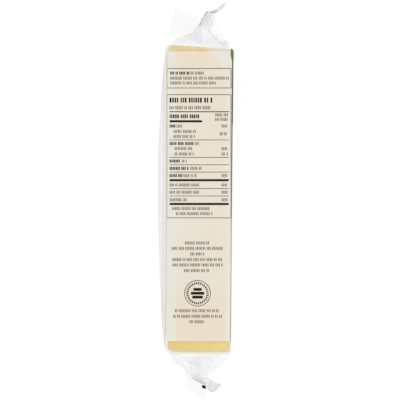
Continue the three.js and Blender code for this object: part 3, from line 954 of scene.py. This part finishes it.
class CHEDDAR_OT_fin(bpy.types.Operator):
    """Adds the long seam's fin, a double ply that bows off the back"""

    bl_idname = "cheddar.fin"
    bl_label = "Back Fin"

    columns = 220
    rows = 26

    def execute(self, context):
        points = np.zeros((self.rows + 1, self.columns + 1, 3))
        reaches = [(reach, 0.0, 0.0) for reach in reversed(FIN_REACH_MM)]
        for column in range(self.columns + 1):
            share = column / self.columns
            y = FIN_FOOT_Y_MM + (FIN_HEAD_Y_MM - FIN_FOOT_Y_MM) * share
            reach = catmull_rom(reaches, share).x
            root = sleeve_section(share)[0] - 0.1
            for row in range(self.rows + 1):
                across = row / self.rows
                curl = math.sin(across * math.pi / 2)
                wave = 0.15 * across * noise_at(3.0, y * 0.09, across)
                x = root - reach * curl + wave
                points[row, column] = (x, y, FIN_ROOT_Z_MM + FIN_WIDTH_MM * across)
        piece = add_sheet("back_fin", points)
        across = np.linspace(0, 1, self.rows + 1)[:, None] * np.ones((1, self.columns + 1))
        # Painted shade along the fin's crease and along its free edge
        crease_x = FIN_CREASE_X_MM + 0.28 * np.tanh(points[:, :, 1] / 15)
        crease = np.exp(-(((points[:, :, 0] - crease_x) / 0.4) ** 2))
        set_float_attribute(piece, "fold", 0.24 * crease + 0.4 * (across > 0.96))
        give_thickness(piece, 0.2 * MM)
        hand_over(piece, "film", fin_material())
        return {"FINISHED"}


# --- The print ---


class Artwork:
    """Flat bars over one face of the pack, laid on the film's skin when they are done."""

    def __init__(self, name):
        self.name = name
        self.bars = []  # left, right, low, high and the number of faces across and up

    def bar(self, left, right, y, height):
        steps = max(1, round((right - left) / PRINT_STEP_MM))
        self.bars.append((left, right, y - height / 2, y + height / 2, steps, 1))

    def upright(self, x, low, high, line, steps=24):
        self.bars.append((x - line / 2, x + line / 2, low, high, 1, steps))

    def words(self, left, right, y, height, draw, tick=0.5):
        """A row of small print as groups of plain upright ticks."""
        start = left
        while right - start > tick:
            for _ in range(draw.randint(2, 8)):
                end = start + tick * draw.uniform(0.8, 1.3)
                if end > right:
                    break
                self.bar(start, end, y, height)
                start = end + tick * 0.62
            start += tick * 1.1

    def make(self):
        mesh = bmesh.new()
        for left, right, low, high, across, up in self.bars:
            columns = np.linspace(left, right, across + 1) * MM
            rows = np.linspace(low, high, up + 1) * MM
            for x0, x1 in zip(columns, columns[1:]):
                for y0, y1 in zip(rows, rows[1:]):
                    corners = ((x0, y0), (x1, y0), (x1, y1), (x0, y1))
                    mesh.faces.new([mesh.verts.new((x, y, 0.0)) for x, y in corners])
        bmesh.ops.remove_doubles(mesh, verts=mesh.verts, dist=0.001 * MM)
        data = bpy.data.meshes.new(self.name)
        mesh.to_mesh(data)
        mesh.free()
        piece = bpy.data.objects.new(self.name, data)
        bpy.context.collection.objects.link(piece)
        return piece


def ink_material(name, colour):
    tree = Tree(name)
    speckle = tree.noise(tree.object_coordinates(), 1500.0, 2.0)
    paler = [min(1.0, channel * 1.4 + 0.005) for channel in colour]
    shade = tree.mix(tree.remap(speckle, 0.35, 0.7), colour, paler)
    inputs = {"Base Color": shade, "Roughness": 0.4, "Specular IOR Level": 0.1}
    return tree.finish(tree.add("ShaderNodeBsdfPrincipled", inputs))


def lay_on_top(piece, skin, lift):
    """Drops flat shapes on the film from above and gives them a hair's thickness."""
    for vertex in piece.data.vertices:
        vertex.co.z = FILM_HIGH * MM + 0.01
    ways = {"use_project_z": True, "use_negative_direction": True, "use_positive_direction": False}
    apply_modifier(
        piece, "lay", "SHRINKWRAP", target=skin, wrap_method="PROJECT", offset=lift, **ways
    )
    apply_modifier(piece, "body", "SOLIDIFY", thickness=0.02 * MM, offset=1.0)


TABLE_LEFT_MM, TABLE_RIGHT_MM = -18.15, 17.4
TEXT_LEFT_MM, VALUE_LEFT_MM, VALUE_RIGHT_MM = -16.7, 12.2, 15.8
CENTRE_MM = -1.2  # of the centred rows
RULE_MM, THIN_RULE_MM, THICK_RULE_MM, FINE_PRINT_MM = 0.3, 0.28, 1.18, 1.65
PRINT_STEP_MM = 0.8  # the longest face of a printed bar

# The table's rows: y, indent, width, how much of it is heavy, and whether a value ends the row
TABLE_ROWS_MM = (
    (40.6, 0.0, 7.6, 3.2, True),
    (37.6, 2.2, 12.6, 0, False),
    (34.8, 2.2, 12.4, 0, False),
    (30.9, 0.0, 16.7, 13.4, False),
    (28.1, 2.8, 10.4, 0, True),
    (25.1, 2.8, 10.8, 0, True),
    (21.2, 0.0, 10.2, 6.2, False),
    (17.1, 0.0, 18.0, 10.9, False),
    (13.1, 0.0, 15.4, 7.1, True),
    (7.9, 0.0, 16.8, 0, True),
    (3.9, 0.0, 16.2, 0, True),
    (-0.3, 0.0, 10.2, 0, True),
)
# The centred rows under the table: y and width
CENTRED_ROWS_MM = (
    (-24.3, 14.0),
    (-27.3, 28.6),
    (-30.4, 8.0),
    (-33.5, 28.0),
    (-36.5, 28.0),
    (-39.6, 15.0),
    (-61.9, 25.0),
    (-65.0, 27.0),
    (-68.0, 9.0),
)


class Label:
    """The print of the side shown, in heavy and in fine ink."""

    def __init__(self):
        self.heavy, self.fine = Artwork("print_rules"), Artwork("print_rows")
        self.draw = random.Random(4)

    def title(self, right, y, height, tick):
        self.heavy.words(TEXT_LEFT_MM, right, y, height, self.draw, tick)

    def row(self, left, right, y, lead=0.0):
        """A row of small print, whose first word is heavy as far as lead."""
        if lead:
            self.heavy.words(left, left + lead, y, FINE_PRINT_MM, self.draw)
            left += lead + 0.6
        self.fine.words(left, right, y, FINE_PRINT_MM, self.draw)

    def box(self, low, high):
        """A ruled box, whose left rule runs down the pack's rounded edge."""
        for y in (high, low):
            self.heavy.bar(TABLE_LEFT_MM, TABLE_RIGHT_MM, y, RULE_MM)
        self.heavy.upright(TABLE_RIGHT_MM, low, high, RULE_MM)
        self.fine.upright(TABLE_LEFT_MM, low, high, RULE_MM * 0.5)

    def upper_box(self):
        self.box(61.75, 72.55)
        for y, right, lead in ((70.0, 2.9, 10.8), (67.2, 16.2, 0), (64.5, 9.2, 0)):
            self.row(-16.4, right, y, lead)

    def table(self):
        self.box(-10.35, 58.0)
        self.title(7.5, 55.0, 2.7, 0.78)
        self.fine.words(TEXT_LEFT_MM, 6.8, 50.8, 1.8, self.draw, 0.55)
        self.title(-0.2, 46.0, 2.1, 0.64)
        for y in (46.8, 44.3):
            self.row(8.6, VALUE_RIGHT_MM, y)
        for y, right, height in (
            (43.25, 1.3, THICK_RULE_MM),
            (48.55, 16.3, 0.45),
            *((y, 16.1, THICK_RULE_MM) for y in (10.55, -2.65)),
            *((y, 16.3, THIN_RULE_MM) for y in (32.9, 23.2, 19.1, 15.05, 5.9, 1.8)),
        ):
            self.heavy.bar(TEXT_LEFT_MM, right, y, height)
        for y, indent, width, lead, has_value in TABLE_ROWS_MM:
            left = TEXT_LEFT_MM + indent
            self.row(left, left + width, y, lead)
            if has_value:
                self.row(VALUE_LEFT_MM, VALUE_RIGHT_MM, y)
        for y, left, right in ((36.3, 11.2, 15.8), (-5.2, -15.4, 6.4), (-8.0, -13.2, 6.9)):
            self.row(left, right, y)

    def centred_rows(self):
        for y, width in CENTRED_ROWS_MM:
            self.row(CENTRE_MM - width / 2, CENTRE_MM + width / 2, y)


class CHEDDAR_OT_print(bpy.types.Operator):
    """Adds the print of the side shown: two ruled boxes, and rows of ticks and plain bars"""

    bl_idname = "cheddar.print"
    bl_label = "Print"

    def execute(self, context):
        settings = context.scene.cheddar_print
        label = Label()
        label.upper_box()
        label.table()
        label.centred_rows()
        inks = (
            (label.heavy, ink_material("dark_ink", settings.ink)),
            (label.fine, ink_material("fine_ink", settings.fine_ink)),
        )
        for artwork, ink in inks:
            piece = artwork.make()
            lay_on_top(piece, bpy.data.objects["film_skin"], settings.lift)
            hand_over(piece, "film", ink)
        return {"FINISHED"}


class CHEDDAR_OT_ring(bpy.types.Operator):
    """Adds the plain round mark of a ring, ticks and bars, and the spot on the foot seal"""

    bl_idname = "cheddar.ring"
    bl_label = "Round Mark"

    centre_mm = (-1.2, -52.2)
    spot_mm = (2.35, -104.8)
    spot_z_mm = 53.3
    radius_mm = 7.3
    ticks = 30
    tick_reach_mm = 5.6
    tick_mm = (1.2, 0.6)
    bars_mm = ((2.15, 4.6), (0.0, 7.4), (-2.15, 5.8))  # each bar's rise and width
    bar_height_mm = 1.5

    def execute(self, context):
        settings = context.scene.cheddar_print
        x, y = (value * MM for value in self.centre_mm)
        disc = {"vertices": 64, "radius": self.radius_mm * MM, "fill_type": "NGON"}
        mark = add_primitive("circle", "print_mark", location=(x, y, 0), **disc)
        bpy.ops.object.mode_set(mode="EDIT")
        bpy.ops.mesh.inset(thickness=RULE_MM * MM)
        bpy.ops.mesh.delete(type="FACE")
        bpy.ops.object.mode_set(mode="OBJECT")
        bpy.ops.object.transform_apply(location=True, rotation=False, scale=False)
        for rise, width in self.bars_mm:
            size_mm = (width, self.bar_height_mm)
            self.add_bar(context, mark, (x, y + rise * MM, 0), 0.0, size_mm)
        for tick in range(self.ticks):
            angle = 2 * math.pi * tick / self.ticks
            reach = self.tick_reach_mm * MM
            place = (x + reach * math.cos(angle), y + reach * math.sin(angle), 0)
            self.add_bar(context, mark, place, angle, self.tick_mm)
        lay_on_top(mark, bpy.data.objects["film_skin"], settings.lift)
        ink = ink_material("mark_ink", settings.ink)
        hand_over(mark, "film", ink)
        self.add_spot(ink)
        return {"FINISHED"}

    def add_spot(self, ink):
        spot = Artwork("register_spot")
        x, y = self.spot_mm
        for step in range(9):
            across = (step + 0.5) / 9 * 2 - 1
            half = 0.95 * math.sqrt(1 - abs(across) ** 3)
            rise = y - 0.35 * across
            spot.upright(x + 1.15 * across, rise - half, rise + half, 0.28, steps=4)
        piece = spot.make()
        for vertex in piece.data.vertices:
            vertex.co.z = self.spot_z_mm * MM + (vertex.co.y - y * MM) * 0.2
        apply_modifier(piece, "body", "SOLIDIFY", thickness=0.06 * MM, offset=1.0)
        hand_over(piece, "film", ink)

    @staticmethod
    def add_bar(context, mark, place, angle, size_mm):
        """Joins a bar to the mark."""
        bar = add_primitive("plane", "bar", size=1, location=place, rotation=(0, 0, angle))
        bar.scale = (size_mm[0] * MM, size_mm[1] * MM, 1)
        bpy.ops.object.transform_apply(location=True, rotation=True, scale=True)
        mark.select_set(True)
        context.view_layer.objects.active = mark
        bpy.ops.object.join()


# --- The stage ---


class CHEDDAR_OT_stage(bpy.types.Operator):
    """Adds the pale floor, the soft light and the camera straight above"""

    bl_idname = "cheddar.stage"
    bl_label = "Stage"

    view_centre_mm = (0.17, -0.44)

    def execute(self, context):
        settings = context.scene.cheddar_stage
        scene = context.scene
        floor = add_primitive("plane", "floor", size=40, location=(0, 0, 0))
        tree = Tree("floor")
        cloud = tree.noise(tree.object_coordinates(), 3.0)
        tone = tree.mix(cloud, settings.floor, (0.93, 0.93, 0.93))
        matt = tree.add("ShaderNodeBsdfDiffuse", {"Color": tone}).outputs[0]
        glow = tree.add("ShaderNodeEmission", {"Color": (1, 1, 1, 1), "Strength": 1.05}).outputs[0]
        lit = tree.add("ShaderNodeMixShader", {0: 0.87, 1: matt, 2: glow})
        floor.data.materials.append(tree.finish(lit))
        self.add_lights(scene)
        self.add_camera(scene, settings)
        scene.view_settings.view_transform = "Standard"
        scene.cycles.transparent_max_bounces = 64
        return {"FINISHED"}

    @staticmethod
    def add_lights(scene):
        world = bpy.data.worlds.new("soft_room")
        world.use_nodes = True
        nodes, links = world.node_tree.nodes, world.node_tree.links
        background = nodes["Background"]
        background.inputs["Color"].default_value = (1.0, 1.0, 1.0, 1.0)
        seen = nodes.new("ShaderNodeLightPath").outputs["Is Camera Ray"]
        strength = nodes.new("ShaderNodeMapRange")
        strength.inputs["To Min"].default_value = 0.82
        links.new(seen, strength.inputs["Value"])
        links.new(strength.outputs["Result"], background.inputs["Strength"])
        scene.world = world
        for name, place, size, power in (
            ("key", (-0.9, 0.7, 1.6), 0.9, 9.0),
            ("fill", (1.1, -0.6, 1.3), 1.1, 5.0),
        ):
            data = bpy.data.lights.new(name, "AREA")
            data.energy, data.size = power, size
            light = bpy.data.objects.new(name, data)
            scene.collection.objects.link(light)
            light.location = place
            light.rotation_euler = (-Vector(place)).to_track_quat("-Z", "Y").to_euler()

    def add_camera(self, scene, settings):
        data = bpy.data.cameras.new("camera")
        data.sensor_width = 36.0
        data.lens = 36.0 * settings.camera_height / settings.view_width
        data.clip_end = 20.0
        camera = bpy.data.objects.new("camera", data)
        scene.collection.objects.link(camera)
        x, y = (value * MM for value in self.view_centre_mm)
        camera.location = (x, y, FILM_HIGH * MM + settings.camera_height)
        scene.camera = camera


# --- The add-on ---


class CHEDDAR_PT_panel(bpy.types.Panel):
    """Lists the pieces of the wrapped block"""

    bl_label = "Wrapped Cheddar"
    bl_idname = "CHEDDAR_PT_panel"
    bl_space_type = "VIEW_3D"
    bl_region_type = "UI"
    bl_category = "Cheddar"

    def draw(self, context):
        for operator in OPERATORS:
            self.layout.operator(operator.bl_idname)


SETTINGS = {
    "cheddar_cheese": CheeseSettings,
    "cheddar_film": FilmSettings,
    "cheddar_print": PrintSettings,
    "cheddar_stage": StageSettings,
}
OPERATORS = (
    CHEDDAR_OT_stage,
    CHEDDAR_OT_block,
    CHEDDAR_OT_film,
    CHEDDAR_OT_seals,
    CHEDDAR_OT_fin,
    CHEDDAR_OT_print,
    CHEDDAR_OT_ring,
)


def register():
    for group in SETTINGS.values():
        bpy.utils.register_class(group)
    for name, group in SETTINGS.items():
        setattr(bpy.types.Scene, name, bpy.props.PointerProperty(type=group))
    for operator in OPERATORS:
        bpy.utils.register_class(operator)
    bpy.utils.register_class(CHEDDAR_PT_panel)


def unregister():
    bpy.utils.unregister_class(CHEDDAR_PT_panel)
    for operator in reversed(OPERATORS):
        bpy.utils.unregister_class(operator)
    for name, group in SETTINGS.items():
        delattr(bpy.types.Scene, name)
        bpy.utils.unregister_class(group)


def main():
    register()
    for operator in OPERATORS:
        group, _, name = operator.bl_idname.partition(".")
        getattr(getattr(bpy.ops, group), name)()


if __name__ == "__main__":
    main()
